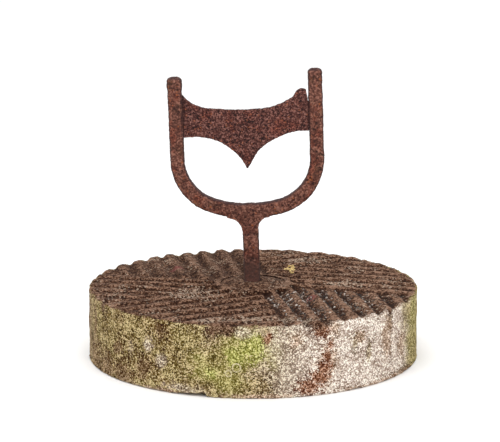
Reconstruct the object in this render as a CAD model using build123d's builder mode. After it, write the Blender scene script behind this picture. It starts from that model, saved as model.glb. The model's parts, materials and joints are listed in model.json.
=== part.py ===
# Boot scraper: a forged iron yoke and blade whose stem is mortared into the eye of an old millstone.
# Frame: +Z up, +Y to the back, origin at the centre of the stone's underside. Millimetres and degrees.
from build123d import *
import os
from math import cos, radians, sin, sqrt

# ---------------------------------------------------------------- driving dimensions
# Millstone
stone_radius = 200.0
stone_height = 87.0  # at the rim
crown = 1.5  # the grinding face rises this much from the rim to the eye
rim_round = 5.0  # worn top arris
foot_round = 3.0  # worn bottom arris
eye_radius = 38.0
dress_margin = 8.0  # plain band left round the eye

# Furrows are cut in harps, and wear has left some deeper than others. Each harp has its master
# furrow's azimuth on the rim, its heading inwards and the depth of its furrows.
furrow_pitch = 23.0
furrow_width = 15.0
furrow_steep = 0.3  # share of the width taken by the steep side
harps = [
    (45, 206, 4.0),
    (93, 281, 5.5),
    (163, 347, 2.6),
    (208, 28, 3.0),
    (282, 101, 5.0),
    (345, 166, 3.4),
]

# Flake broken off the bottom arris
flake_azimuth = 247.0
flake_length = 56.0
flake_depth = 24.0
flake_height = 4.5

# Mortar in the eye
mortar_lift = 4.0  # its underside stands clear of the floor
mortar_dome = 1.6  # heaped up to shed water

# Where the yoke's middle line leaves the mortar, and how far the iron leans towards -X
root_x = -2.0
root_y = 4.0
lean = 1.95

# Yoke, a square bar. Heights are measured up the iron from where it leaves the mortar.
bar = 17.5
bar_round = 4.0
tip_round = 5.5
half_span = 83.6  # middle line to the axis of each upright
bow_bottom = 84.8  # axis of the bar at its lowest
corner_radius = 60.0
left_sole_radius = 124.0
right_sole_radius = 170.0
left_top = 250.0
right_top = 255.0
flat_low = 180.0  # stretch of the left upright whose inner front arris is hammered flat
flat_high = 229.0
flat_width = 6.0

# Boss under the yoke, where the stem is tenoned in
boss_bottom = 56.0
boss_left_round = 18.0
boss_right_round = 13.5

# Stem
stem_offset = 1.0  # its axis stands this far to the right of the yoke's middle line
stem_side = 19.6
stem_round = 4.0
tang_depth = 66.0  # below the mortar's surface
tail_height = 26.0  # split and spread end of the tang
tail_spread = 34.0
tail_thickness = 12.0
tenon_radius = 5.0
tenon_head_radius = 7.0  # the tenon's end, hammered over into a countersink
tenon_head_depth = 4.0
tenon_head_proud = 0.7

# Blade
blade_thickness = 6.0
edge_height = 208.0  # lowest part of the scraping edge, in the middle
left_horn = 228.0
right_horn = 231.2
horn_gap = 2.4  # the right horn stands this far off the upright
left_foot = 176.2
right_foot = 179.8
point_height = 136.4
tongue_length = 12.5  # runs this far into each upright
tongue_inset = 6.0  # shoulder above and below each tongue
right_tongue_top = 214.0

# Rivets through the uprights and the blade's tongues
rivet_radius = 2.6
rivet_head_radius = 4.2
rivet_head_height = 1.2

fit_gap = 0.1  # clearance of every tongue, tenon and rivet in its hole

# ---------------------------------------------------------------- derived places
inner_face = half_span - bar / 2
face_at_eye = stone_height + crown
sway = radians(lean)
up_iron = Vector(-sin(sway), 0, cos(sway))
# Outlines of the iron lie in this plane: x across the yoke, y up the iron, normal to the front.
front = Plane(
    origin=(root_x, root_y, face_at_eye + mortar_dome),
    x_dir=(cos(sway), 0, sin(sway)),
    z_dir=(0, -1, 0),
)
# Sections of the stem lie in this plane, square to the stem at the mortar's surface.
across = Plane(
    origin=front.from_local_coords((stem_offset, 0, 0)),
    x_dir=front.x_dir,
    z_dir=up_iron,
)
left_tongue = (left_foot + tongue_inset, left_horn - tongue_inset)
right_tongue = (right_foot + tongue_inset, right_tongue_top)


# ---------------------------------------------------------------- millstone
def harp_lines(index):
    """Rim point, inward direction and right-hand normal of a harp's master furrow."""
    azimuth, heading = (radians(angle) for angle in harps[index % len(harps)][:2])
    rim_point = Vector(cos(azimuth), sin(azimuth)) * stone_radius
    inward = Vector(cos(heading), sin(heading))
    return rim_point, inward, Vector(inward.Y, -inward.X)


def crossing(point_a, way_a, point_b, way_b):
    """Where two lines in plan cross."""
    gap = point_b - point_a
    along = (gap.X * way_b.Y - gap.Y * way_b.X) / (way_a.X * way_b.Y - way_a.Y * way_b.X)
    return point_a + way_a * along


def harp_cutter(index):
    """All the furrows of one harp, trimmed to the wedge between its master furrow and the next."""
    rim_point, inward, aside = harp_lines(index)
    next_point, next_inward, _ = harp_lines(index + 1)
    apex = crossing(rim_point, inward, next_point, next_inward)
    reach = stone_radius / 2
    own_far = rim_point - inward * reach - aside * furrow_width / 2
    next_far = next_point - next_inward * reach
    middle = (rim_point + next_point).normalized() * stone_radius * 2
    count = int((next_far - own_far).length / furrow_pitch) + 1
    above = crown + rim_round
    depth = harps[index][2]
    with BuildPart() as cutter:
        for step in range(count):
            start = rim_point - inward * reach + aside * furrow_pitch * step
            section = Plane(
                origin=(start.X, start.Y, stone_height),
                x_dir=(aside.X, aside.Y, 0),
                z_dir=(inward.X, inward.Y, 0),
            )
            # On this plane y points down into the stone.
            with BuildSketch(section):
                with BuildLine():
                    Polyline(
                        (-furrow_width / 2, -above),
                        (-furrow_width / 2, 0),
                        (furrow_width * (furrow_steep - 0.5), depth),
                        (furrow_width / 2, 0),
                        (furrow_width / 2, -above),
                        close=True,
                    )
                make_face()
            extrude(amount=reach + stone_radius)
        with BuildSketch(Plane.XY.offset(stone_height - depth - 1)):
            with BuildLine():
                Polyline(
                    (apex.X, apex.Y),
                    (own_far.X, own_far.Y),
                    (middle.X, middle.Y),
                    (next_far.X, next_far.Y),
                    close=True,
                )
            make_face()
            Circle(eye_radius + dress_margin, mode=Mode.SUBTRACT)
        extrude(amount=depth + above + 2, mode=Mode.INTERSECT)
    return cutter.part


with BuildPart() as millstone:
    with BuildSketch(Plane.XZ):
        with BuildLine():
            Polyline(
                (stone_radius - rim_round, stone_height),
                (eye_radius, face_at_eye),
                (eye_radius, 0),
                (stone_radius - foot_round, 0),
            )
            RadiusArc(
                (stone_radius - foot_round, 0), (stone_radius, foot_round), -foot_round
            )
            Line((stone_radius, foot_round), (stone_radius, stone_height - rim_round))
            RadiusArc(
                (stone_radius, stone_height - rim_round),
                (stone_radius - rim_round, stone_height),
                -rim_round,
            )
        make_face()
    revolve(axis=Axis.Z)
    for number in range(len(harps)):
        add(harp_cutter(number), mode=Mode.SUBTRACT)
    # The flake runs out to nothing at one end and stops abruptly at the other.
    away = radians(flake_azimuth)
    flake_plane = Plane(
        origin=(stone_radius * cos(away), stone_radius * sin(away), 0),
        x_dir=(-sin(away), cos(away), 0),
        z_dir=(-cos(away), -sin(away), 0),
    )
    with BuildSketch(flake_plane.offset(-foot_round)):
        with BuildLine():
            Polyline(
                (-flake_length / 2, 0),
                (flake_length / 2, 0),
                (flake_length * 0.46, -flake_height),
                close=True,
            )
        make_face()
    extrude(amount=flake_depth, mode=Mode.SUBTRACT)
millstone.part.label = "millstone"

# ---------------------------------------------------------------- stem
tenon_top = bow_bottom + bar / 2
tenon_seat = tenon_top - tenon_head_depth


def tenon(gap=0.0):
    """Round tenon with its end spread into a countersink; with a gap, the hole for it."""
    with BuildPart() as shape:
        with BuildSketch(across.offset(boss_bottom - gap)):
            Circle(tenon_radius + gap)
        extrude(amount=tenon_seat - boss_bottom + gap)
        with BuildSketch(across.offset(tenon_seat)):
            Circle(tenon_radius + gap)
        with BuildSketch(across.offset(tenon_top + tenon_head_proud + gap)):
            Circle(tenon_head_radius + gap)
        loft()
    return shape.part


with BuildPart() as stem:
    with BuildSketch(across.offset(tail_height - tang_depth)):
        RectangleRounded(stem_side, stem_side, stem_round)
    extrude(amount=boss_bottom + tang_depth - tail_height)
    with BuildSketch(across.offset(tail_height - tang_depth)):
        Rectangle(stem_side - stem_round, tail_thickness)
    with BuildSketch(across.offset(-tang_depth)):
        Rectangle(tail_spread, tail_thickness)
    loft()
    # The split that spreads the tail.
    with BuildSketch(front):
        with BuildLine():
            Polyline(
                (stem_offset - tail_spread / 5, -tang_depth - 1),
                (stem_offset + tail_spread / 5, -tang_depth - 1),
                (stem_offset, -tang_depth + tail_height * 0.7),
                close=True,
            )
        make_face()
    extrude(amount=tail_thickness, both=True, mode=Mode.SUBTRACT)
    add(tenon())
stem.part.label = "stem"


# ---------------------------------------------------------------- yoke
def bend(side, sole_radius, out):
    """Spring of an upright and start of its corner, for a line this far outside the bar's axis."""
    over = half_span - corner_radius
    rise = sqrt((sole_radius - corner_radius) ** 2 - over**2)
    spring = bow_bottom + sole_radius - rise
    reach = (corner_radius + out) / (sole_radius - corner_radius)
    return spring, (side * over * (1 + reach), spring - rise * reach)


def rail(out):
    """One long side of the yoke's outline, from tip to tip round the bottom."""
    for side, top, sole_radius in (
        (-1, left_top, left_sole_radius),
        (1, right_top, right_sole_radius),
    ):
        spring, joint = bend(side, sole_radius, out)
        edge = side * (half_span + out)
        Line((edge, top), (edge, spring))
        TangentArc((edge, spring), joint, tangent=(0, -1))
        TangentArc((0, bow_bottom - out), joint, tangent=(side, 0))


def flank(side, corner, radius):
    """One side of the boss: a fillet from the stem's flank out to the underside of the yoke."""
    stem_face = stem_offset + side * stem_side / 2
    Line((stem_face, boss_bottom), (stem_face, corner - radius))
    RadiusArc((stem_face, corner - radius), (stem_face + side * radius, corner), side * radius)
    Line((stem_face + side * radius, corner), (stem_face + side * radius, bow_bottom))


with BuildPart() as yoke:
    with BuildSketch(front):
        with BuildLine():
            rail(bar / 2)
            rail(-bar / 2)
            for side, top in ((-1, left_top), (1, right_top)):
                Line((side * inner_face, top), (side * (half_span + bar / 2), top))
        make_face()
    extrude(amount=bar / 2, both=True)
    ends = yoke.faces().filter_by(Axis(front.origin, up_iron))
    fillet(yoke.faces().filter_by(Axis.Y).edges() - ends.edges(), radius=bar_round)
    fillet(yoke.faces().filter_by(Axis(front.origin, up_iron)).edges(), radius=tip_round)
    # Swelled boss: the bar is upset here and drawn down to the stem's size.
    underside = bow_bottom - bar / 2 + 1
    with BuildSketch(front):
        with BuildLine():
            flank(-1, underside, boss_left_round)
            flank(1, underside, boss_right_round)
            Line(
                (stem_offset - stem_side / 2, boss_bottom),
                (stem_offset + stem_side / 2, boss_bottom),
            )
            Line(
                (stem_offset - stem_side / 2 - boss_left_round, bow_bottom),
                (stem_offset + stem_side / 2 + boss_right_round, bow_bottom),
            )
        make_face()
    extrude(amount=bar / 2 - 0.5, both=True)
    add(tenon(fit_gap), mode=Mode.SUBTRACT)
    # The flat, cut at 45 degrees across the arris.
    arris = front.from_local_coords((-inner_face, flat_low, bar / 2))
    with BuildSketch(Plane(origin=arris, x_dir=front.x_dir, z_dir=up_iron)):
        Rectangle(flat_width / sqrt(2), flat_width / sqrt(2), rotation=45)
    extrude(amount=flat_high - flat_low, mode=Mode.SUBTRACT)
    # Slots for the blade's tongues, and the rivet holes across them.
    for side, tongue in ((-1, left_tongue), (1, right_tongue)):
        slot_end = inner_face + tongue_length + fit_gap
        with BuildSketch(front):
            with Locations((side * (inner_face - bar + slot_end) / 2, sum(tongue) / 2)):
                Rectangle(slot_end - inner_face + bar, tongue[1] - tongue[0] + 2 * fit_gap)
        extrude(amount=blade_thickness / 2 + fit_gap, both=True, mode=Mode.SUBTRACT)
        with BuildSketch(front):
            with Locations((side * half_span, sum(tongue) / 2)):
                Circle(rivet_radius + fit_gap)
        extrude(amount=bar, both=True, mode=Mode.SUBTRACT)
yoke.part.label = "yoke"


# ---------------------------------------------------------------- blade
def on_blade(across_part, height):
    """A point of the blade's outline, placed by its share of the way out to the uprights."""
    return (inner_face * across_part, height)


horn_x = inner_face - horn_gap
with BuildPart() as blade:
    with BuildSketch(front):
        with BuildLine():
            # Scraping edge, worn hollow between the two horns.
            ThreePointArc(
                (-inner_face, left_horn),
                on_blade(-0.83, edge_height + 8.6),
                on_blade(-0.58, edge_height + 2.8),
            )
            ThreePointArc(
                on_blade(-0.58, edge_height + 2.8),
                on_blade(-0.07, edge_height),
                on_blade(0.24, edge_height + 0.4),
            )
            ThreePointArc(
                on_blade(0.24, edge_height + 0.4),
                on_blade(0.51, edge_height + 4.4),
                on_blade(0.76, edge_height + 13.8),
            )
            ThreePointArc(
                on_blade(0.76, edge_height + 13.8),
                on_blade(0.785, right_horn - 5.6),
                on_blade(0.835, right_horn - 1.8),
            )
            ThreePointArc(
                on_blade(0.835, right_horn - 1.8),
                on_blade(0.9, right_horn),
                (horn_x, right_horn - 1.6),
            )
            Polyline(
                (horn_x, right_horn - 1.6),
                (inner_face, right_tongue_top + 1),
                (inner_face, right_foot),
                on_blade(0.83, right_foot),
            )
            # Lower edge, drawn down to a blunt point in the middle.
            ThreePointArc(
                on_blade(0.83, right_foot),
                on_blade(0.52, right_foot - 6.6),
                on_blade(0.19, right_foot - 21.6),
            )
            Polyline(
                on_blade(0.19, right_foot - 21.6),
                on_blade(0.01, point_height),
                on_blade(-0.01, point_height),
            )
            ThreePointArc(
                on_blade(-0.01, point_height),
                on_blade(-0.37, left_foot - 9.4),
                on_blade(-0.88, left_foot),
            )
            Polyline(
                on_blade(-0.88, left_foot),
                (-inner_face, left_foot),
                (-inner_face, left_horn),
            )
        make_face()
        for side, tongue in ((-1, left_tongue), (1, right_tongue)):
            with Locations((side * (inner_face + tongue_length / 2 - 1), sum(tongue) / 2)):
                Rectangle(tongue_length + 2, tongue[1] - tongue[0])
            with Locations((side * half_span, sum(tongue) / 2)):
                Circle(rivet_radius + fit_gap, mode=Mode.SUBTRACT)
    extrude(amount=blade_thickness / 2, both=True)
blade.part.label = "blade"


# ---------------------------------------------------------------- rivets
def cross_rivet(side, tongue):
    """Rivet from the front to the back of an upright, with a low round head at each end."""
    middle = front.from_local_coords((side * half_span, sum(tongue) / 2, 0))
    with BuildPart() as shape:
        with BuildSketch(Plane(origin=middle, z_dir=(0, -1, 0))):
            Circle(rivet_radius)
        extrude(amount=bar / 2, both=True)
        for facing in (-1, 1):
            seat = middle + Vector(0, facing * bar / 2, 0)
            with BuildSketch(Plane(origin=seat, z_dir=(0, facing, 0))):
                Circle(rivet_head_radius)
            extrude(amount=rivet_head_height, taper=35)
    return shape.part


left_rivet = cross_rivet(-1, left_tongue)
left_rivet.label = "left_rivet"
right_rivet = cross_rivet(1, right_tongue)
right_rivet.label = "right_rivet"

# ---------------------------------------------------------------- mortar
with BuildPart() as eye_mortar:
    with BuildSketch(Plane.XZ):
        with BuildLine():
            Polyline(
                (0, face_at_eye + mortar_dome),
                (0, mortar_lift),
                (eye_radius, mortar_lift),
                (eye_radius, face_at_eye),
            )
            TangentArc(
                (0, face_at_eye + mortar_dome), (eye_radius, face_at_eye), tangent=(1, 0)
            )
        make_face()
    revolve(axis=Axis.Z)
    add(stem.part, mode=Mode.SUBTRACT)
eye_mortar.part.label = "eye_mortar"

# ---------------------------------------------------------------- files
os.makedirs("parts", exist_ok=True)
export_step(millstone.part, "parts/millstone.step")
export_step(eye_mortar.part, "parts/eye_mortar.step")
export_step(stem.part, "parts/stem.step")
export_step(yoke.part, "parts/yoke.step")
export_step(blade.part, "parts/blade.step")
export_step(left_rivet, "parts/left_rivet.step")
export_step(right_rivet, "parts/right_rivet.step")
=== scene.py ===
import json
import math
import random

import bpy
import numpy as np
from mathutils import Euler, Matrix, Vector
from mathutils.bvhtree import BVHTree

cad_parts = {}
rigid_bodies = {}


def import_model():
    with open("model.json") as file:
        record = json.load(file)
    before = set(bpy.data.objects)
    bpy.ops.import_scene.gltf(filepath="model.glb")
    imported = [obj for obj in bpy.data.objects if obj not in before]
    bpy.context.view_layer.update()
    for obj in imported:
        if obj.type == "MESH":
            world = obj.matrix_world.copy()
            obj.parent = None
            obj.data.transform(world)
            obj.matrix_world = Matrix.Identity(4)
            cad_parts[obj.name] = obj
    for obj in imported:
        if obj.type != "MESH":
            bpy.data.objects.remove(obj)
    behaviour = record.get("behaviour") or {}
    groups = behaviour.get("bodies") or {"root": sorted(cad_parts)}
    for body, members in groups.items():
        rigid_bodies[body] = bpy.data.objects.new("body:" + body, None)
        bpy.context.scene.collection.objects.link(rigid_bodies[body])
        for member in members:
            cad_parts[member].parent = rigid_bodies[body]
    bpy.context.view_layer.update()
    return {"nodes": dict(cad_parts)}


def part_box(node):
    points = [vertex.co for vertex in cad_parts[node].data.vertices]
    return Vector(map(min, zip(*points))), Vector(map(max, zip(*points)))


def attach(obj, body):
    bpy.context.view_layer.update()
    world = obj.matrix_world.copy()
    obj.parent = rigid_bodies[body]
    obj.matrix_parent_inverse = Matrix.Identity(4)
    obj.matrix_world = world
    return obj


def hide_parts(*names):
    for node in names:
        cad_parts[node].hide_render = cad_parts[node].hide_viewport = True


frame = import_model()
random.seed(11)
mm = 0.001

stoneLow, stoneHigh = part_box("millstone")
stoneRadius = (stoneHigh.x - stoneLow.x) / 2
crown = 1.5 * mm  # the face rises this much from the rim to the eye
rimHeight = stoneHigh.z - crown
yokeLow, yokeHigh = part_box("yoke")
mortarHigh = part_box("eye_mortar")[1]
stemX = -1.0 * mm
stemFoot = Vector((stemX, (yokeLow.y + yokeHigh.y) / 2, mortarHigh.z))


def linearColour(hexColour):
    channels = [int(hexColour[place:place + 2], 16) / 255 for place in (1, 3, 5)]
    return [c / 12.92 if c <= 0.04045 else ((c + 0.055) / 1.055) ** 2.4 for c in channels] + [1.0]


def addNode(tree, kind, settings, inputs):
    node = tree.nodes.new(kind)
    for name, value in settings.items():
        if name == "stops":
            ramp = node.color_ramp
            while len(ramp.elements) < len(value):
                ramp.elements.new(0.5)
            for element, (place, colour) in zip(ramp.elements, value):
                element.position = place
                isHex = isinstance(colour, str)
                element.color = linearColour(colour) if isHex else (colour,) * 3 + (1,)
        else:
            setattr(node, name, value)
    for name, value in inputs.items():
        if isinstance(value, bpy.types.NodeSocket):
            tree.links.new(value, node.inputs[name])
        else:
            node.inputs[name].default_value = value
    return node


def startMaterial(name):
    material = bpy.data.materials.new(name)
    material.use_nodes = True
    tree = material.node_tree
    shader = tree.nodes["Principled BSDF"]
    place = addNode(tree, "ShaderNodeTexCoord", {}, {}).outputs["Object"]
    return material, tree, shader, place


def perMm(sizeMm):
    # Texture scale whose features are about this many millimetres across
    return 1000.0 / sizeMm


def selectOnly(piece):
    bpy.ops.object.select_all(action="DESELECT")
    piece.select_set(True)
    bpy.context.view_layer.objects.active = piece


def applyModifier(piece, kind, settings):
    selectOnly(piece)
    modifier = piece.modifiers.new(kind.lower(), kind)
    for name, value in settings.items():
        setattr(modifier, name, value)
    bpy.ops.object.modifier_apply(modifier=modifier.name)


def copyOfNode(nodeName, pieceName):
    source = frame["nodes"][nodeName]
    selectOnly(source)
    bpy.ops.object.duplicate(linked=False)
    piece = bpy.context.active_object
    bpy.ops.object.parent_clear(type="CLEAR_KEEP_TRANSFORM")
    piece.name = pieceName
    piece.data.name = pieceName
    piece.data.materials.clear()
    bpy.ops.object.mode_set(mode="EDIT")
    bpy.ops.mesh.select_all(action="SELECT")
    bpy.ops.mesh.remove_doubles(threshold=0.005 * mm)
    bpy.ops.mesh.faces_shade_smooth()
    bpy.ops.object.mode_set(mode="OBJECT")
    return piece


def grainTexture(name, kind, sizeMm, **settings):
    texture = bpy.data.textures.new(name, kind)
    texture.noise_scale = sizeMm * mm
    for setting, value in settings.items():
        setattr(texture, setting, value)
    return texture


def roughen(piece, texture, depthMm, mid=0.9, group="", direction="NORMAL"):
    applyModifier(piece, "DISPLACE", {
        "texture": texture, "texture_coords": "LOCAL", "strength": depthMm * mm,
        "mid_level": mid, "vertex_group": group, "direction": direction,
    })


def roughenLayers(piece, layers, group="", direction="NORMAL"):
    for name, sizeMm, octaves, depthMm, mid in layers:
        texture = grainTexture(name, "CLOUDS", sizeMm, noise_depth=octaves)
        roughen(piece, texture, depthMm, mid, group, direction)


def weightByPlace(piece, groupName, weightAt):
    group = piece.vertex_groups.new(name=groupName)
    for vertex in piece.data.vertices:
        weight = weightAt(vertex)
        if weight > 0:
            group.add([vertex.index], min(1.0, weight), "REPLACE")


def settle(piece, nodeNames, material):
    piece.data.materials.clear()
    piece.data.materials.append(material)
    selectOnly(piece)
    bpy.ops.object.shade_smooth()
    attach(piece, "root")
    if nodeNames:
        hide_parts(*nodeNames)
    print("made", piece.name, len(piece.data.polygons), "faces")


def markPatches(piece, name, patches):
    # Stores how near each point is to a patch: 2 in its middle, 1 at its edge, 0 well away
    points = np.empty(len(piece.data.vertices) * 3)
    piece.data.vertices.foreach_get("co", points)
    points = points.reshape(-1, 3)
    near = np.zeros(len(points))
    for middle, turn, halfSizes in patches:
        x, y, z = (points - np.array(middle)).T
        along = (x * math.cos(turn) + y * math.sin(turn)) / halfSizes[0]
        across = (y * math.cos(turn) - x * math.sin(turn)) / halfSizes[1]
        near = np.maximum(near, 2 - np.sqrt(along ** 2 + across ** 2 + (z / halfSizes[2]) ** 2))
    mark = piece.data.attributes.new(name, "FLOAT", "POINT")
    mark.data.foreach_set("value", near.astype(np.float32))


def markHollows(piece, passes, shares=((-180, 1), (180, 1))):
    # Stores how far each point lies below its surroundings, in mm: the colours darken there, with
    # dirt and, on the stone, painted shade, and ridges wear pale. The shares say how much of it
    # shows at each azimuth, in degrees.
    mesh = piece.data
    count = len(mesh.vertices)
    points = np.empty(count * 3)
    mesh.vertices.foreach_get("co", points)
    normals = np.empty(count * 3)
    mesh.vertex_normals.foreach_get("vector", normals)
    ends = np.empty(len(mesh.edges) * 2, dtype=np.int32)
    mesh.edges.foreach_get("vertices", ends)
    points, normals = points.reshape(-1, 3), normals.reshape(-1, 3)
    first, second = ends.reshape(-1, 2).T
    links = np.bincount(ends, minlength=count)
    level = points.copy()
    for _ in range(passes):
        for axis in range(3):
            along = level[:, axis]
            around = np.bincount(first, along[second], count)
            around += np.bincount(second, along[first], count)
            level[:, axis] = (along + around / links) / 2
    hollow = mesh.attributes.new("hollow", "FLOAT", "POINT")
    depth = ((level - points) * normals).sum(axis=1) / mm
    share = np.interp(np.degrees(np.arctan2(points[:, 1], points[:, 0])), *zip(*shares))
    hollow.data.foreach_set("value", (np.clip(depth, -0.7, 4) * share).astype(np.float32))


# camera, light and floor

view = {
    "elevation": 12.94, "distance": 2.419, "targetHeight": 0.110,
    "lens": 144.2, "lookUp": 1.225, "lookLeft": 0.092,
}
elevation = math.radians(view["elevation"])
bpy.ops.object.camera_add(location=(
    0, -math.cos(elevation) * view["distance"],
    view["targetHeight"] + math.sin(elevation) * view["distance"],
))
camera = bpy.context.active_object
camera.rotation_euler = (
    math.radians(90 - view["elevation"] + view["lookUp"]), 0, math.radians(view["lookLeft"]))
camera.data.lens = view["lens"]
camera.data.sensor_width = 36
camera.data.clip_end = 60
bpy.context.scene.camera = camera

lights = [
    # name, place, aim, size, watts
    ("ceilingSoftbox", (0, 0, 5), (0, 0, 0), 20, 560),
    ("overheadSoftbox", (-0.4, -0.6, 2.6), (0, 0, 0.1), 2.2, 24),
    ("frontSoftbox", (0.9, -2.8, 1.5), (0, 0, 0.12), 1.8, 14),
]
for lightName, place, aim, size, watts in lights:
    bpy.ops.object.light_add(type="AREA", location=place)
    lamp = bpy.context.active_object
    lamp.name = lightName
    lamp.data.energy = watts
    lamp.data.shape = "SQUARE"
    lamp.data.size = size
    lamp.rotation_euler = (Vector(aim) - Vector(place)).to_track_quat("-Z", "Y").to_euler()

world = bpy.data.worlds.new("studio")
bpy.context.scene.world = world
world.use_nodes = True
world.node_tree.nodes["Background"].inputs["Color"].default_value = (1, 1, 1, 1)
world.node_tree.nodes["Background"].inputs["Strength"].default_value = 0.74
bpy.context.scene.view_settings.view_transform = "Standard"

bpy.ops.mesh.primitive_plane_add(size=24, location=(0, 6, 0))
floor = bpy.context.active_object
floor.name = "floor"
floorPaint, _, floorShader, _ = startMaterial("paleStudioPaper")
floorShader.inputs["Base Color"].default_value = (0.95, 0.95, 0.95, 1)
floorShader.inputs["Roughness"].default_value = 0.95
floor.data.materials.append(floorPaint)
print("camera, light and floor are up")


# materials

# where the five tones lie, from the darkest twentieth of the grains to the lightest
grainPlaces = (0.42, 0.53, 0.61, 0.69, 0.80)


def grainTones(tree, grain, tones):
    return addNode(tree, "ShaderNodeValToRGB", {
        "stops": list(zip(grainPlaces, tones))}, {0: grain}).outputs[0]


def mixIn(tree, share, below, above):
    return addNode(tree, "ShaderNodeMix", {"data_type": "RGBA"}, {
        0: share, 6: below, 7: above}).outputs[2]


def onWall(azimuth, height, halfWide, halfTall):
    # A patch on the stone's wall: azimuth in degrees from +X, anticlockwise from above, then mm
    angle = math.radians(azimuth)
    middle = Vector((math.cos(angle) * stoneRadius, math.sin(angle) * stoneRadius, height * mm))
    return middle, angle + math.pi / 2, (halfWide * mm, 30 * mm, halfTall * mm)


def onFace(x, y, halfWide, halfLong):
    return Vector((x * mm, y * mm, rimHeight)), 0, (halfWide * mm, halfLong * mm, 20 * mm)


def patchMask(tree, name, crumble, strength):
    # Where the named patches lie, with a crumbling edge
    near = addNode(tree, "ShaderNodeAttribute", {"attribute_name": name}, {}).outputs["Fac"]
    ragged = addNode(tree, "ShaderNodeMath", {"operation": "SUBTRACT"}, {
        0: near, 1: crumble}).outputs[0]
    return addNode(tree, "ShaderNodeMapRange", {"interpolation_type": "SMOOTHSTEP"}, {
        "Value": ragged, 1: 0.7, 2: 1.3, 3: 0.0, 4: strength}).outputs[0]


def stoneGrain(tree, place, gritMm):
    # Sand grains in clouds of 12 mm, darker in the hollows with dirt and painted shade
    grit = addNode(tree, "ShaderNodeTexNoise", {}, {
        "Vector": place, "Scale": perMm(gritMm), "Detail": 1, "Roughness": 0.75}).outputs["Fac"]
    cloud = addNode(tree, "ShaderNodeTexNoise", {}, {
        "Vector": place, "Scale": perMm(12), "Detail": 6, "Roughness": 0.75}).outputs["Fac"]
    cells = addNode(tree, "ShaderNodeTexVoronoi", {}, {
        "Vector": place, "Scale": perMm(0.88 * gritMm)}).outputs["Color"]
    pick = addNode(tree, "ShaderNodeSeparateColor", {}, {0: cells}).outputs
    hollow = addNode(tree, "ShaderNodeAttribute", {"attribute_name": "hollow"}, {}).outputs["Fac"]
    grain = addNode(tree, "ShaderNodeMath", {"operation": "MULTIPLY_ADD"}, {
        0: grit, 1: 0.62, 2: addNode(tree, "ShaderNodeMath", {"operation": "MULTIPLY_ADD"}, {
            0: pick[0], 1: 0.42, 2: -0.24}).outputs[0]}).outputs[0]
    grain = addNode(tree, "ShaderNodeMath", {"operation": "MULTIPLY_ADD"}, {
        0: cloud, 1: 0.66, 2: grain}).outputs[0]
    return grit, cloud, pick, hollow, grain


def faceCrust(tree, place, stone):
    # Colour of the dressed face: a brown crust of old soil and rust, with pale grains rubbed bare
    _, cloud, pick, hollow, grain = stone
    patchy = addNode(tree, "ShaderNodeMapRange", {}, {
        "Value": cloud, 1: 0.38, 2: 0.62, 3: -0.03, 4: -0.15}).outputs[0]
    # darker in the hollows: soil, and painted shade in the furrows
    wornAndShaded = addNode(tree, "ShaderNodeMath", {"operation": "MULTIPLY_ADD"}, {
        0: hollow, 1: patchy, 2: grain}).outputs[0]
    face = grainTones(tree, wornAndShaded, stoneLook["tones"]["crust"])
    crumble = addNode(tree, "ShaderNodeMath", {"operation": "MULTIPLY_ADD"}, {
        0: cloud, 1: 2.6, 2: -1.3}).outputs[0]
    pale = patchMask(tree, "pale", crumble, 0.42)
    cluster = addNode(tree, "ShaderNodeTexNoise", {}, {
        "Vector": place, "Scale": perMm(38), "Detail": 3}).outputs["Fac"]
    rubbed = addNode(tree, "ShaderNodeMath", {"operation": "ADD"}, {
        0: pale, 1: addNode(tree, "ShaderNodeMath", {"operation": "MULTIPLY_ADD"}, {
            0: cluster, 1: 0.9, 2: pick[1]}).outputs[0]}).outputs[0]
    rubbed = addNode(tree, "ShaderNodeMapRange", {}, {
        "Value": rubbed, 1: 1.43, 2: 1.48, 3: 0.0, 4: 0.6}).outputs[0]
    face = mixIn(tree, rubbed, face, linearColour("#b9a591"))
    dark = addNode(tree, "ShaderNodeMapRange", {}, {
        "Value": pick[2], 1: 0.94, 2: 0.97, 3: 0.0, 4: 0.6}).outputs[0]
    face = mixIn(tree, dark, face, linearColour("#2c1c14"))
    red = patchMask(tree, "red", crumble, 0.5)
    return mixIn(tree, red, face, linearColour("#8a504c"))


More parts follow.
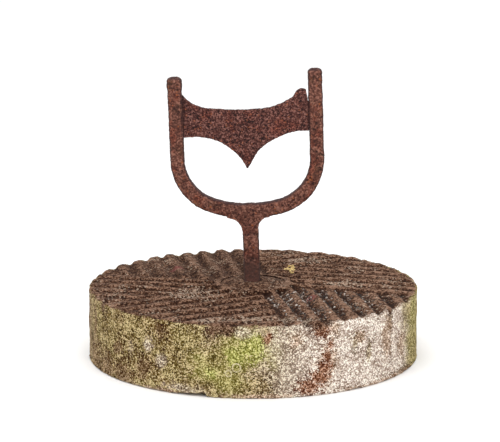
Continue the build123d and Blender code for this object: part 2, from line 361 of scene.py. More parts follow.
def makeGritstone():
    # Millstone grit, quarried and chisel dressed, out of doors for a century:
    # a matt granular wall with moss and rust runs, and a brown crust over the whole face.
    material, tree, shader, place = startMaterial("gritstoneDressedWeathered")
    tones = stoneLook["tones"]
    axes = addNode(tree, "ShaderNodeSeparateXYZ", {}, {0: place}).outputs
    grit, cloud, _, hollow, grain = stoneGrain(tree, place, stoneLook["wallGritMm"])
    # rain runs: noise stretched down the wall
    runs = addNode(tree, "ShaderNodeTexNoise", {}, {
        "Vector": addNode(tree, "ShaderNodeMapping", {}, {
            "Vector": place, "Scale": (1, 1, 0.22)}).outputs[0],
        "Scale": perMm(11), "Detail": 4, "Roughness": 0.6}).outputs["Fac"]
    wobble = addNode(tree, "ShaderNodeTexNoise", {}, {
        "Vector": place, "Scale": perMm(24), "Detail": 5, "Roughness": 0.7}).outputs["Fac"]
    # darker in the hollows: dirt and painted shade
    wallGrain = addNode(tree, "ShaderNodeMath", {"operation": "MULTIPLY_ADD"}, {
        0: hollow, 1: -0.05, 2: grain}).outputs[0]
    wallGrain = addNode(tree, "ShaderNodeMath", {"operation": "MULTIPLY_ADD"}, {
        0: runs, 1: 0.24, 2: addNode(tree, "ShaderNodeMath", {"operation": "SUBTRACT"}, {
            0: wallGrain, 1: 0.12}).outputs[0]}).outputs[0]
    # share of the way round, 0 to 1 from +X, with a ragged border
    minusY, minusX = [
        addNode(tree, "ShaderNodeMath", {"operation": "MULTIPLY"}, {
            0: axes[axis], 1: -1.0}).outputs[0] for axis in ("Y", "X")]
    turn = addNode(tree, "ShaderNodeMath", {"operation": "ARCTAN2"}, {
        0: minusY, 1: minusX}).outputs[0]
    around = addNode(tree, "ShaderNodeMath", {"operation": "MULTIPLY_ADD"}, {
        0: turn, 1: 0.5 / math.pi, 2: 0.5}).outputs[0]
    around = addNode(tree, "ShaderNodeMath", {"operation": "MULTIPLY_ADD"}, {
        0: wobble, 1: 0.08, 2: addNode(tree, "ShaderNodeMath", {"operation": "SUBTRACT"}, {
            0: around, 1: 0.04}).outputs[0]}).outputs[0]
    grime = addNode(tree, "ShaderNodeValToRGB", {"stops": [
        (azimuth / 360, share) for azimuth, share in stoneLook["grime"]]}, {0: around}).outputs[0]
    wall = mixIn(tree, grime, grainTones(tree, wallGrain, tones["cream"]),
                 grainTones(tree, wallGrain, tones["olive"]))
    # moss films in the pores, then single patches, then rust and brown drips over them
    film = addNode(tree, "ShaderNodeValToRGB", {"stops": [
        (azimuth / 360, share) for azimuth, share in stoneLook["moss"]]}, {0: around}).outputs[0]
    film = addNode(tree, "ShaderNodeMath", {"operation": "MULTIPLY"}, {
        0: film, 1: addNode(tree, "ShaderNodeMapRange", {"interpolation_type": "SMOOTHSTEP"}, {
            "Value": wobble, 1: 0.42, 2: 0.60}).outputs[0]}).outputs[0]
    wall = mixIn(tree, film, wall, grainTones(tree, wallGrain, tones["film"]))
    crumble = addNode(tree, "ShaderNodeMath", {"operation": "MULTIPLY_ADD"}, {
        0: grit, 1: 1.8, 2: addNode(tree, "ShaderNodeMath", {"operation": "MULTIPLY_ADD"}, {
            0: cloud, 1: 3.8, 2: -2.8}).outputs[0]}).outputs[0]
    for toneName, strength, _ in stoneLook["wallPatches"]:
        mask = patchMask(tree, toneName, crumble, strength)
        wall = mixIn(tree, mask, wall, grainTones(tree, wallGrain, tones[toneName]))
    # the face's brown crust laps raggedly over the rim
    face = faceCrust(tree, place, stoneGrain(tree, place, stoneLook["faceGritMm"]))
    crustLine = addNode(tree, "ShaderNodeMath", {"operation": "MULTIPLY_ADD"}, {
        0: cloud, 1: 16 * mm, 2: axes["Z"]}).outputs[0]
    crustLine = addNode(tree, "ShaderNodeMath", {"operation": "MULTIPLY_ADD"}, {
        0: grit, 1: 9 * mm, 2: crustLine}).outputs[0]
    crustMask = addNode(tree, "ShaderNodeMapRange", {"interpolation_type": "SMOOTHSTEP"}, {
        "Value": crustLine, 1: rimHeight + 9.3 * mm, 2: rimHeight + 10.3 * mm}).outputs[0]
    fromAxis = addNode(tree, "ShaderNodeVectorMath", {"operation": "LENGTH"}, {
        0: addNode(tree, "ShaderNodeVectorMath", {"operation": "MULTIPLY"}, {
            0: place, 1: (1, 1, 0)}).outputs[0]}).outputs["Value"]
    inside = addNode(tree, "ShaderNodeMapRange", {"interpolation_type": "SMOOTHSTEP"}, {
        "Value": fromAxis, 1: stoneRadius - 3 * mm, 2: stoneRadius - 6 * mm}).outputs[0]
    above = addNode(tree, "ShaderNodeMath", {"operation": "GREATER_THAN"}, {
        0: axes["Z"], 1: rimHeight - 12 * mm}).outputs[0]
    inside = addNode(tree, "ShaderNodeMath", {"operation": "MULTIPLY"}, {
        0: inside, 1: above}).outputs[0]
    crustMask = addNode(tree, "ShaderNodeMath", {"operation": "MAXIMUM"}, {
        0: crustMask, 1: inside}).outputs[0]
    tree.links.new(mixIn(tree, crustMask, wall, face), shader.inputs["Base Color"])
    shader.inputs["Roughness"].default_value = 0.93
    shader.inputs["Specular IOR Level"].default_value = 0.15
    bump = addNode(tree, "ShaderNodeBump", {}, {
        "Strength": 0.8, "Distance": 1.2 * mm, "Height": grit}).outputs[0]
    tree.links.new(bump, shader.inputs["Normal"])
    return material


def makeMortar():
    # Lime mortar, trowelled and rain washed: matt, under the same brown crust as the face, and
    # darker round the stem.
    material, tree, shader, place = startMaterial("limeMortarTrowelled")
    stone = stoneGrain(tree, place, stoneLook["faceGritMm"])
    grit, cloud = stone[:2]
    colour = faceCrust(tree, place, stone)
    # darker within about 25 mm of the stem's foot
    fromStem = addNode(tree, "ShaderNodeVectorMath", {"operation": "DISTANCE"}, {
        0: place, 1: stemFoot}).outputs["Value"]
    darkRoundStem = addNode(tree, "ShaderNodeMapRange", {"interpolation_type": "SMOOTHSTEP"}, {
        "Value": addNode(tree, "ShaderNodeMath", {"operation": "MULTIPLY_ADD"}, {
            0: cloud, 1: 24 * mm, 2: fromStem}).outputs[0],
        1: 28 * mm, 2: 22 * mm, 3: 0.0, 4: 0.3}).outputs[0]
    tree.links.new(mixIn(tree, darkRoundStem, colour, linearColour("#3a2820")), shader.inputs["Base Color"])
    shader.inputs["Roughness"].default_value = 0.92
    shader.inputs["Specular IOR Level"].default_value = 0.15
    bump = addNode(tree, "ShaderNodeBump", {}, {
        "Strength": 0.6, "Distance": 1.0 * mm, "Height": grit}).outputs[0]
    tree.links.new(bump, shader.inputs["Normal"])
    return material


def makeRustedIron(name, look):
    # Wrought iron, hot forged and long rusted: matt brown scale, dark in its pits, with pale bloom
    # and orange flecks; painted shade darkens every face turned away from the front and back.
    material, tree, shader, place = startMaterial(name)
    scale = addNode(tree, "ShaderNodeTexNoise", {}, {
        "Vector": place, "Scale": perMm(look["blotchMm"]), "Detail": 5, "Roughness": 0.7,
    }).outputs["Fac"]
    grit = addNode(tree, "ShaderNodeTexNoise", {}, {
        "Vector": place, "Scale": perMm(look["gritMm"]), "Detail": 3, "Roughness": 0.75,
    }).outputs["Fac"]
    cells = addNode(tree, "ShaderNodeTexVoronoi", {}, {
        "Vector": place, "Scale": perMm(look["flakeMm"])}).outputs["Color"]
    pick = addNode(tree, "ShaderNodeSeparateColor", {}, {0: cells}).outputs
    hollow = addNode(tree, "ShaderNodeAttribute", {"attribute_name": "hollow"}, {}).outputs["Fac"]
    grain = addNode(tree, "ShaderNodeMath", {"operation": "MULTIPLY_ADD"}, {
        0: pick[0], 1: look["flakeShare"], 2: 0.11 - look["flakeShare"] / 2}).outputs[0]
    grain = addNode(tree, "ShaderNodeMath", {"operation": "MULTIPLY_ADD"}, {
        0: scale, 1: 0.5, 2: grain}).outputs[0]
    grain = addNode(tree, "ShaderNodeMath", {"operation": "MULTIPLY_ADD"}, {
        0: grit, 1: 0.5, 2: grain}).outputs[0]
    grain = addNode(tree, "ShaderNodeMath", {"operation": "MULTIPLY_ADD"}, {
        0: hollow, 1: -look["pitDirt"], 2: grain}).outputs[0]
    colour = grainTones(tree, grain, look["tones"])
    # weathering in larger clouds: orange rust and grey-green scale
    for cloudMm, tone, start, strength in look["clouds"]:
        cloud = addNode(tree, "ShaderNodeTexNoise", {}, {
            "Vector": place, "Scale": perMm(cloudMm), "Detail": 5, "Roughness": 0.7}).outputs["Fac"]
        mask = addNode(tree, "ShaderNodeMapRange", {"interpolation_type": "SMOOTHSTEP"}, {
            "Value": cloud, 1: start, 2: start + 0.12, 3: 0.0, 4: strength}).outputs[0]
        tinted = addNode(tree, "ShaderNodeMix", {"data_type": "RGBA", "blend_type": "MULTIPLY"}, {
            0: 1.0, 6: colour, 7: linearColour(tone)}).outputs[2]
        colour = mixIn(tree, mask, colour, tinted)
    fleck = addNode(tree, "ShaderNodeMapRange", {}, {
        "Value": pick[1], 1: look["fleckFrom"], 2: look["fleckFrom"] + 0.02, 3: 0.0, 4: 0.55,
    }).outputs[0]
    colour = mixIn(tree, fleck, colour, linearColour("#a0582e"))
    # painted shade: faces turned away from the front and back, the bars' edges above all, are
    # darkened
    facing = addNode(tree, "ShaderNodeSeparateXYZ", {}, {
        0: addNode(tree, "ShaderNodeNewGeometry", {}, {}).outputs["Normal"]}).outputs["Y"]
    facing = addNode(tree, "ShaderNodeMath", {"operation": "ABSOLUTE"}, {0: facing}).outputs[0]
    paintedEdgeShade = addNode(tree, "ShaderNodeMapRange", {"interpolation_type": "SMOOTHSTEP"}, {
        "Value": facing, 1: 0.95, 2: 0.55, 3: 0.0, 4: 0.68}).outputs[0]
    colour = mixIn(tree, paintedEdgeShade, colour, linearColour("#241016"))
    # painted shade in the corner between blade and uprights, and darker towards the foot of the
    # stem
    across = addNode(tree, "ShaderNodeSeparateXYZ", {}, {0: place}).outputs
    sideways = addNode(tree, "ShaderNodeMath", {"operation": "ABSOLUTE"}, {
        0: addNode(tree, "ShaderNodeMath", {"operation": "SUBTRACT"}, {
            0: across["X"], 1: (yokeLow.x + yokeHigh.x) / 2}).outputs[0]}).outputs[0]
    corner = look["cornerShadeFrom"]
    for value, clean, dirty, tone, strength in (
            (sideways, corner, corner + 3 * mm, "#2a1212", look["cornerShadeStrength"]),
            (across["Z"], stemFoot.z + 34 * mm, stemFoot.z + 16 * mm, "#4a342e", look["footDarkening"])):
        mask = addNode(tree, "ShaderNodeMapRange", {"interpolation_type": "SMOOTHSTEP"}, {
            "Value": value, 1: clean, 2: dirty, 3: 0.0, 4: strength}).outputs[0]
        colour = mixIn(tree, mask, colour, linearColour(tone))
    tree.links.new(colour, shader.inputs["Base Color"])
    shader.inputs["Roughness"].default_value = 0.8
    shader.inputs["Specular IOR Level"].default_value = 0.3
    bump = addNode(tree, "ShaderNodeBump", {}, {
        "Strength": 0.7, "Distance": 0.6 * mm, "Height": grit}).outputs[0]
    tree.links.new(bump, shader.inputs["Normal"])
    return material


def makeLichen(name, paleTone, deepTone):
    # Crusty lichen: a dry, powdery skin that stands a little off the stone.
    material, tree, shader, place = startMaterial(name)
    powder = addNode(tree, "ShaderNodeTexNoise", {}, {
        "Vector": place, "Scale": perMm(2), "Detail": 3, "Roughness": 0.7}).outputs["Fac"]
    colour = addNode(tree, "ShaderNodeValToRGB", {"stops": [
        (0.42, deepTone), (0.58, paleTone)]}, {0: powder}).outputs[0]
    tree.links.new(colour, shader.inputs["Base Color"])
    shader.inputs["Roughness"].default_value = 0.95
    return material


def makeWashedGrit():
    # Washed grit of many stones, angular and dull: black, grey, brown and near white chips.
    material, tree, shader, place = startMaterial("gritMixedWashed")
    cells = addNode(tree, "ShaderNodeTexVoronoi", {}, {
        "Vector": place, "Scale": perMm(5)}).outputs["Color"]
    pick = addNode(tree, "ShaderNodeSeparateColor", {}, {0: cells}).outputs[0]
    colour = addNode(tree, "ShaderNodeValToRGB", {"stops": [
        (0.0, "#181210"), (0.35, "#332924"), (0.6, "#57483f"), (0.8, "#857469"), (0.97, "#cfc5bb"),
    ]}, {0: pick}).outputs[0]
    tree.links.new(colour, shader.inputs["Base Color"])
    shader.inputs["Roughness"].default_value = 0.85
    return material


stoneLook = {
    "wallGritMm": 1.5, "faceGritMm": 2.0,
    # five tones each, from the darkest to the lightest grains
    "tones": {
        "cream": ["#7e6958", "#9f8b7c", "#b7a395", "#d5c2b4", "#fcf6ea"],
        "olive": ["#250f03", "#4c360b", "#685227", "#8c764b", "#ccb68b"],
        "film": ["#2b1a03", "#524110", "#6e5d2c", "#928150", "#d2c190"],
        "moss": ["#585018", "#746a32", "#897f44", "#a3995e", "#d2c88b"],
        "brown": ["#2a1003", "#492f11", "#604527", "#7c6244", "#b09577"],
        "rust": ["#380b03", "#572a0f", "#6e4126", "#8a5d43", "#be9176"],
        "stain": ["#573c25", "#785d46", "#90755e", "#ae947c", "#e5cab3"],
        "crust": ["#200f06", "#371e10", "#4a2f20", "#614634", "#8e6e5a"],
        "freshMoss": ["#55541a", "#787832", "#909043", "#abac5c", "#dcda8e"],
    },
    # azimuth in degrees from +X, anticlockwise from above, and share
    "grime": [
        (0, 0.6), (45, 0.2), (80, 0.5), (120, 0.9), (165, 0.8), (205, 1.0), (240, 1.0),
        (262, 0.85), (272, 0.7), (281, 0.3), (290, 0.08), (300, 0.0), (330, 0.05), (339, 0.6),
        (346, 1.0),
    ],
    "moss": [
        (0, 0.7), (40, 0.2), (90, 0.6), (130, 0.4), (180, 0.25), (205, 0.35), (222, 0.6),
        (244, 0.75), (262, 0.9), (273, 0.6), (281, 0.3), (292, 0.0), (328, 0.0), (337, 0.6),
        (350, 0.9),
    ],
    # tone, strength, and each patch's azimuth, height, half width and half height in mm
    "wallPatches": [
        ("moss", 0.9, [
            (266, 54, 25, 24), (270, 60, 16, 14), (256, 34, 24, 22), (262, 18, 28, 12),
            (276, 56, 10, 22), (346, 45, 32, 60), (120, 50, 50, 30), (20, 60, 40, 30),
            (160, 30, 25, 22)]),
        ("freshMoss", 0.8, [
            (270, 60, 17, 19), (264, 48, 12, 10), (346, 68, 22, 32), (256, 30, 7, 7),
            (130, 60, 20, 14)]),
        ("film", 0.75, [
            (228, 58, 16, 18), (216, 40, 14, 16), (204, 60, 10, 20), (246, 66, 14, 16),
            (347, 52, 28, 60), (257, 44, 10, 12)]),
        ("cream", 0.5, [
            (225, 44, 6, 8), (233, 52, 7, 9), (238, 36, 7, 8), (247, 8, 26, 5), (267, 76, 10, 7),
            (277, 60, 10, 20), (60, 60, 50, 30)]),
        ("olive", 0.7, [
            (232, 24, 16, 14), (225, 42, 16, 22), (218, 72, 12, 10), (240, 60, 8, 12),
            (252, 12, 20, 6), (271, 14, 18, 18), (274, 78, 7, 6), (306, 56, 8, 10),
            (312, 40, 5, 14)]),
        ("brown", 0.85, [
            (186, 45, 18, 70), (199, 10, 24, 28), (210, 8, 24, 20), (220, 8, 22, 16),
            (231, 24, 12, 14), (333, 2, 30, 5), (200, 50, 5, 30), (218, 36, 8, 12),
            (238, 70, 8, 8), (323, 70, 5, 20)]),
        # pale stains, and three low bands 1 to 2 mm up the front (at 272, 316 and 240 degrees) that
        # are painted light bounced up off the floor
        ("stain", 0.85, [
            (296, 46, 10, 22), (294, 28, 14, 20), (284, 66, 10, 8), (321, 54, 10, 26),
            (331, 35, 9, 15), (297, 76, 8, 8), (272, 2, 40, 3), (316, 1, 60, 3), (240, 1, 60, 3),
            (308, 60, 8, 8)]),
        ("rust", 0.95, [
            (296, 56, 4, 8), (295, 44, 6, 10), (294, 32, 9, 10), (292, 20, 13, 11),
            (289, 11, 17, 10), (293, 76, 11, 10), (275, 70, 5, 8), (95, 20, 30, 16),
            (60, 20, 30, 12)]),
        ("crust", 0.95, [
            (259, 82, 16, 8), (257, 76, 6, 8), (262, 78, 6, 7), (208, 82, 5, 8), (292, 84, 14, 7),
            (323, 82, 6, 7), (248, 85, 20, 2), (224, 85, 16, 2)]),
    ],
    # x, y, half width and half length in mm
    "facePatches": [
        ("pale", [
            onFace(112, 2, 26, 16), onFace(-72, -52, 34, 22), onFace(30, -165, 60, 12),
            onFace(-30, -170, 50, 10), onFace(70, 130, 24, 16)]),
        ("red", [onFace(68, -65, 7, 9), onFace(-96, 84, 9, 6)]),
    ],
}
gritstone = makeGritstone()
mortar = makeMortar()
barIron = makeRustedIron("wroughtIronForgedRusted", {
    "blotchMm": 9, "gritMm": 1.8, "flakeMm": 1.9, "flakeShare": 0.26,
    "pitDirt": 0.35, "fleckFrom": 0.97,
    "tones": ["#26100c", "#4a281f", "#5b362b", "#6e4336", "#936555"],
    "clouds": [(26, "#ffb08a", 0.50, 0.5), (17, "#b8bfa0", 0.54, 0.7)],
    # the stem darkens towards its foot
    "cornerShadeFrom": 1.0, "cornerShadeStrength": 0.0, "footDarkening": 0.7,
})
plateIron = makeRustedIron("plateIronPittedRusted", {
    "blotchMm": 7, "gritMm": 1.6, "flakeMm": 1.4, "flakeShare": 0.36,
    "pitDirt": 0.35, "fleckFrom": 0.97,
    "tones": ["#160303", "#391713", "#4e2822", "#603931", "#8a5e54"],
    "clouds": [(22, "#ffb890", 0.50, 0.5), (15, "#a89a9c", 0.55, 0.5), (9, "#8a5a50", 0.56, 0.7)],
    # painted shade on the blade's ends, next to the uprights
    "cornerShadeFrom": (yokeHigh.x - yokeLow.x) / 2 - 22 * mm, "cornerShadeStrength": 0.65, "footDarkening": 0.0,
})
washedGrit = makeWashedGrit()
goldLichen = makeLichen("lichenGoldCrust", "#f0d898", "#a07c3c")
paleLichen = makeLichen("lichenPaleCrust", "#d8cca4", "#9c9068")
print("materials are mixed")


# millstone

stoneWear = {
    "voxelMm": 1.8, "roundPasses": 2, "keptShare": 0.61,
    # hidden faces: how near the ground, and how near the axis and how far below the face
    "bedMm": 0.6, "eyeMm": 39.5, "eyeDepthMm": 6,
    # a furrow this deep is filled fully, and anything deeper than the second isn't a furrow
    "furrowMm": 5, "deepestMm": 8,
    # this near the axis only this share of the weathering shows
    "quietMm": 48, "quietShare": 0.3,
    "flatMm": 1, "hollowPasses": 60,
    # name, size in mm, octaves, depth in mm and the level that stays put
    "soilLayers": [("soil", 60, 1, 2.6, 0.4), ("silt", 20, 1, 2.6, 0.5)],
    "weatherLayers": [
        ("swell", 30, 2, 2.4, 0.95), ("chips", 9, 3, 1.5, 0.9), ("sandGrains", 3, 1, 0.9, 0.8)],
    # azimuth from -180 to 180 degrees, and how much darkening shows in the furrows there: soil and
    # painted shade
    "furrowDirtAndShade": [
        (-180, 0.9), (-155, 1.0), (-80, 0.9), (-74, 1.2), (-19, 1.2), (-12, 1.8), (42, 1.8),
        (48, 1.3), (90, 1.0), (96, 0.5), (160, 0.5), (166, 0.8), (180, 0.9),
    ],
}


def fromAxisMm(vertex):
    return math.hypot(vertex.co.x, vertex.co.y) / mm


def hiddenAt(vertex):
    # The underside and the wall of the eye, where fewer faces do
    inEye = (fromAxisMm(vertex) < stoneWear["eyeMm"]
             and vertex.co.z < stoneHigh.z - stoneWear["eyeDepthMm"] * mm)
    return float(vertex.co.z < stoneWear["bedMm"] * mm or inEye)


def furrowAt(vertex):
    depthMm = (rimHeight - vertex.co.z) / mm
    if depthMm >= stoneWear["deepestMm"]:
        return 0.0
    return depthMm / stoneWear["furrowMm"] * max(0.0, vertex.normal.z)


def openAt(vertex):
    # All but the underside, less round the eye
    if vertex.normal.z < -0.5:
        return 0.0
    return stoneWear["quietShare"] if fromAxisMm(vertex) < stoneWear["quietMm"] else 1.0


millstone = copyOfNode("millstone", "millstoneWorn")
applyModifier(millstone, "REMESH", {"mode": "VOXEL", "voxel_size": stoneWear["voxelMm"] * mm})
weightByPlace(millstone, "hidden", hiddenAt)
applyModifier(millstone, "DECIMATE", {
    "ratio": stoneWear["keptShare"], "vertex_group": "hidden", "vertex_group_factor": 10.0})
applyModifier(millstone, "SMOOTH", {"factor": 0.5, "iterations": stoneWear["roundPasses"]})
# washed-in soil evens out the furrows, more in some places than in others
weightByPlace(millstone, "furrow", furrowAt)
roughenLayers(millstone, stoneWear["soilLayers"], "furrow", "Z")
weightByPlace(millstone, "open", openAt)
roughenLayers(millstone, stoneWear["weatherLayers"], "open")
for vertex in millstone.data.vertices:  # the stone sits flat on the ground
    if vertex.co.z < stoneWear["flatMm"] * mm:
        vertex.co.z = 0
markHollows(millstone, stoneWear["hollowPasses"], stoneWear["furrowDirtAndShade"])
for patchName, _, patches in stoneLook["wallPatches"]:
    markPatches(millstone, patchName, [onWall(*patch) for patch in patches])
for patchName, patches in stoneLook["facePatches"]:
    markPatches(millstone, patchName, patches)
settle(millstone, ["millstone"], gritstone)

# mortar

mortarWear = {
    "voxelMm": 1.2, "roundPasses": 3, "roughMm": 2,
    # the top skin is stretched from smearMm out, past the eye's radius by the lap and its lobes
    "skinMm": 2.6, "smearMm": 24, "eyeMm": 38, "edgeMm": 0.5, "lapMm": 4.0,
    # size in mm, how many round the eye, and turn in radians
    "lobes": [(1.5, 3, 1), (1.0, 7, 0), (0.8, 13, 2)],
    "sinkMm": 1.8, "thinMm": 4.5,
    "layers": [("trowel", 14, 2, 2.2, 0.6), ("mortarSand", 2.6, 1, 0.9, 0.6)],
}
eyeMortar = copyOfNode("eye_mortar", "eyeMortarTrowelled")
applyModifier(eyeMortar, "REMESH", {"mode": "VOXEL", "voxel_size": mortarWear["voxelMm"] * mm})
applyModifier(eyeMortar, "SMOOTH", {"factor": 0.5, "iterations": mortarWear["roundPasses"]})
roughFrom = stoneHigh.z - mortarWear["roughMm"] * mm
weightByPlace(eyeMortar, "top", lambda v: float(v.co.z > roughFrom))
# smeared a few millimetres over the edge of the eye, where it thins out into the stone
for vertex in eyeMortar.data.vertices:
    out = fromAxisMm(vertex)
    onTop = vertex.co.z > stoneHigh.z - mortarWear["skinMm"] * mm
    if onTop and out > mortarWear["smearMm"]:
        bearing = math.atan2(vertex.co.y, vertex.co.x)
        lap = mortarWear["lapMm"] + sum(
            size * math.sin(count * bearing + turn) for size, count, turn in mortarWear["lobes"])
        share = (out - mortarWear["smearMm"]) / (mortarWear["eyeMm"] - mortarWear["smearMm"])
        newOut = out + lap * share
        thin = max(0.0, newOut - mortarWear["eyeMm"] - mortarWear["edgeMm"]) / lap
        vertex.co.x *= newOut / out
        vertex.co.y *= newOut / out
        vertex.co.z -= (mortarWear["sinkMm"] * share + mortarWear["thinMm"] * thin) * mm
roughenLayers(eyeMortar, mortarWear["layers"], "top")
settle(eyeMortar, ["eye_mortar"], mortar)

# iron

scaleLumps = grainTexture("scaleLumps", "CLOUDS", 11, noise_depth=2)
scaleFlakes = grainTexture("scaleFlakes", "CLOUDS", 3.6, noise_depth=2)
rustPits = grainTexture("rustPits", "VORONOI", 3.2, distance_metric="DISTANCE")


def rust(piece, wear, freeGroup=""):
    applyModifier(piece, "REMESH", {"mode": "VOXEL", "voxel_size": wear["voxelMm"] * mm})
    applyModifier(piece, "SMOOTH", {"factor": 0.5, "iterations": wear["passes"]})
    if freeGroup:
        weightByPlace(piece, freeGroup, wear["freeAt"])
    roughen(piece, scaleLumps, wear["lumpMm"], 0.6, freeGroup)
    roughen(piece, scaleFlakes, wear["flakeMm"], 0.6, freeGroup)
    roughen(piece, rustPits, wear["pitMm"], 0.75, freeGroup)
    markHollows(piece, 8)


def keepSide(piece, point, normal, inner):
    # Cuts the piece with a plane, closes it and keeps one side
    selectOnly(piece)
    bpy.ops.object.mode_set(mode="EDIT")
    bpy.ops.mesh.select_all(action="SELECT")
    bpy.ops.mesh.bisect(plane_co=point, plane_no=normal, use_fill=True,
                        clear_inner=not inner, clear_outer=inner)
    bpy.ops.object.mode_set(mode="OBJECT")


# The shoulder is drawn out of one heat, so stem and yoke are worn together and then parted there
forgingWear = {
    "voxelMm": 0.85, "passes": 2, "lumpMm": 1.2, "flakeMm": 0.8, "pitMm": 0.6,
    "leanDegrees": 1.95, "shoulderMm": 56, "uprightMm": 40,
    # both tips are rounded by the hammer, and the left one is upset as well
    "tips": [
        {"side": -1, "heightMm": 17, "swell": 0.07, "round": 0.30},
        {"side": 1, "heightMm": 9, "swell": 0.0, "round": 0.26},
    ],
    "tipRoundMm": 3.8,
}
leanAngle = math.radians(forgingWear["leanDegrees"])
upIron = Vector((-math.sin(leanAngle), 0, math.cos(leanAngle)))
shoulder = stemFoot + upIron * forgingWear["shoulderMm"] * mm
yokeForged = copyOfNode("yoke", "yokeForged")
stemCopy = copyOfNode("stem", "stemCopy")
selectOnly(yokeForged)
stemCopy.select_set(True)
bpy.ops.object.join()
rust(yokeForged, forgingWear)
for tip in forgingWear["tips"]:
    upright = [vertex for vertex in yokeForged.data.vertices
               if vertex.co.x * tip["side"] > forgingWear["uprightMm"] * mm]
    topOfTip = max(vertex.co.z for vertex in upright)
    head = [vertex for vertex in upright if vertex.co.z > topOfTip - tip["heightMm"] * mm]
    middle = sum((vertex.co for vertex in head), Vector()) / len(head)
    for vertex in head:
        down = (topOfTip - vertex.co.z) / mm
        grow = 1 + tip["swell"] * math.sin(math.pi * down / tip["heightMm"])
        grow -= tip["round"] * max(0.0, 1 - down / forgingWear["tipRoundMm"]) ** 2
        vertex.co.x = middle.x + (vertex.co.x - middle.x) * grow
        vertex.co.y = middle.y + (vertex.co.y - middle.y) * grow
selectOnly(yokeForged)
bpy.ops.object.duplicate(linked=False)
stemForged = bpy.context.active_object
stemForged.name = stemForged.data.name = "stemForged"
keepSide(yokeForged, shoulder, upIron, False)
keepSide(stemForged, shoulder, upIron, True)
settle(yokeForged, ["yoke"], barIron)
settle(stemForged, ["stem"], barIron)

# The blade is free to rust away from the uprights, but its ends stay tight in their slots
bladeLow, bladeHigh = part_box("blade")
bladeWear = {
    "voxelMm": 0.62, "passes": 2, "lumpMm": 0.9, "flakeMm": 0.8, "pitMm": 0.9,
    # from nothing at 14.4 mm off either end to all of it at 20.4 mm
    "freeAt": lambda v: min(v.co.x - bladeLow.x, bladeHigh.x - v.co.x) / mm / 6 - 2.4,
}
bladeWorn = copyOfNode("blade", "bladeWorn")
rust(bladeWorn, bladeWear, "free")
settle(bladeWorn, ["blade"], plateIron)

rivetWear = {"voxelMm": 0.4, "passes": 3, "lumpMm": 0.3, "flakeMm": 0.3, "pitMm": 0.2}
for nodeName, pieceName in (("left_rivet", "leftRivetPeened"), ("right_rivet", "rightRivetPeened")):
    rivet = copyOfNode(nodeName, pieceName)
    rust(rivet, rivetWear)
    settle(rivet, [nodeName], barIron)

# grit and lichen on the stone

stoneSkin = BVHTree.FromObject(millstone, bpy.context.evaluated_depsgraph_get())
overStone, outsideStone = 0.2, 0.3  # where rays onto the stone start, in metres


def onStone(x, y):
    # The point of the stone's face right below a place over it
    return stoneSkin.ray_cast(Vector((x, y, overStone)), Vector((0, 0, -1)))[0]


def placed(spot, size, stretch=(1, 1, 1)):
    turn = Euler([random.uniform(0, 2 * math.pi) for _ in range(3)]).to_matrix().to_4x4()
    return Matrix.Translation(spot) @ turn @ Matrix.Diagonal(Vector(stretch) * size).to_4x4()


def makeChip(seed):
    # One angular stone chip, a few dozen faces
    bpy.ops.object.select_all(action="DESELECT")
    bpy.ops.mesh.primitive_ico_sphere_add(subdivisions=1, radius=1)
    chip = bpy.context.active_object
    bpy.ops.object.mode_set(mode="EDIT")
    bpy.ops.mesh.select_all(action="SELECT")
    bpy.ops.transform.vertex_random(offset=0.35, seed=seed)
    bpy.ops.mesh.bevel(offset=0.14, segments=1)
    bpy.ops.object.mode_set(mode="OBJECT")
    return chip


def scatter(pieceName, chips, places):
    copies = []
    for number, matrix in enumerate(places):
        chip = chips[number % len(chips)]
        copy = chip.copy()
        copy.data = chip.data.copy()
        copy.data.transform(matrix)
        bpy.context.collection.objects.link(copy)
        copies.append(copy)
    selectOnly(copies[0])
    for copy in copies:
        copy.select_set(True)
    bpy.ops.object.join()
    piece = bpy.context.active_object
    piece.name = piece.data.name = pieceName
    return piece


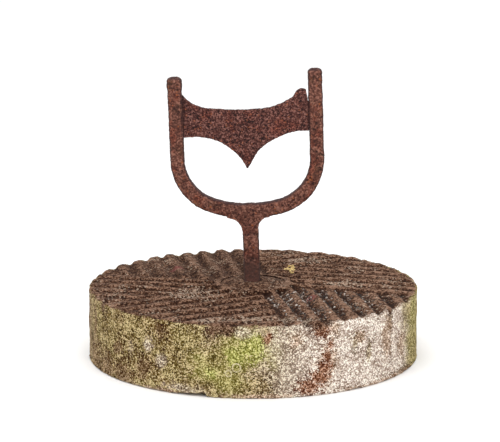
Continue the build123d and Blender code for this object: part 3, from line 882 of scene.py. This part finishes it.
gritBed = {
    "from": 284, "to": 343, "inner": 62, "outer": 184, "count": 420, "smallMm": 0.9, "largeMm": 2.2,
    "furrowMm": 2.4, "strayShare": 0.06,
}
chips = [makeChip(seed) for seed in (3, 8, 21)]
beds = []
while len(beds) < gritBed["count"]:
    bearing = math.radians(random.uniform(gritBed["from"], gritBed["to"]))
    out = random.uniform(gritBed["inner"], gritBed["outer"]) * mm
    top = onStone(out * math.cos(bearing), out * math.sin(bearing))
    inFurrow = top.z < rimHeight - gritBed["furrowMm"] * mm
    if inFurrow or random.random() < gritBed["strayShare"]:
        size = random.uniform(gritBed["smallMm"], gritBed["largeMm"]) * mm
        beds.append(placed(top, size, (1, 0.8, 0.7)))
furrowGrit = scatter("furrowGrit", chips, beds)
settle(furrowGrit, [], washedGrit)

lichenLobe = {
    "x": 46, "y": 80, "wideMm": 3.6, "longMm": 9, "count": 44, "smallMm": 1.4, "largeMm": 3.0,
    "liftMm": 0.8,
}
lobes = []
for _ in range(lichenLobe["count"]):
    top = onStone(random.gauss(lichenLobe["x"], lichenLobe["wideMm"]) * mm,
                  random.gauss(lichenLobe["y"], lichenLobe["longMm"]) * mm)
    size = random.uniform(lichenLobe["smallMm"], lichenLobe["largeMm"]) * mm
    lobes.append(placed(top + Vector((0, 0, lichenLobe["liftMm"] * mm)), size, (1, 0.8, 0.6)))
goldPatch = scatter("goldLichen", chips, lobes)
applyModifier(goldPatch, "SUBSURF", {"levels": 1, "render_levels": 1})
settle(goldPatch, [], goldLichen)

ringLichens = {
    # azimuth in degrees, height and radius in mm
    "places": [(264.6, 36, 4.6), (262, 29, 3.4)],
    "thickMm": 1.0, "layers": [("lobed", 2.4, 2, 1.4, 0.6)],
}
rings = []
for azimuth, height, radiusMm in ringLichens["places"]:
    angle = math.radians(azimuth)
    outward = Vector((math.cos(angle), math.sin(angle), 0))
    start = outward * outsideStone + Vector((0, 0, height * mm))
    skin = stoneSkin.ray_cast(start, -outward)[0]
    bpy.ops.object.select_all(action="DESELECT")
    bpy.ops.mesh.primitive_torus_add(
        major_segments=36, minor_segments=8,
        major_radius=radiusMm * mm, minor_radius=ringLichens["thickMm"] * mm,
        location=skin, rotation=outward.to_track_quat("Z", "Y").to_euler())
    ring = bpy.context.active_object
    bpy.ops.object.transform_apply(location=True, rotation=True, scale=True)
    roughenLayers(ring, ringLichens["layers"])
    rings.append(ring)
selectOnly(rings[0])
for ring in rings:
    ring.select_set(True)
bpy.ops.object.join()
ringPatch = bpy.context.active_object
ringPatch.name = ringPatch.data.name = "ringLichen"
settle(ringPatch, [], paleLichen)
for chip in chips:
    bpy.data.objects.remove(chip)
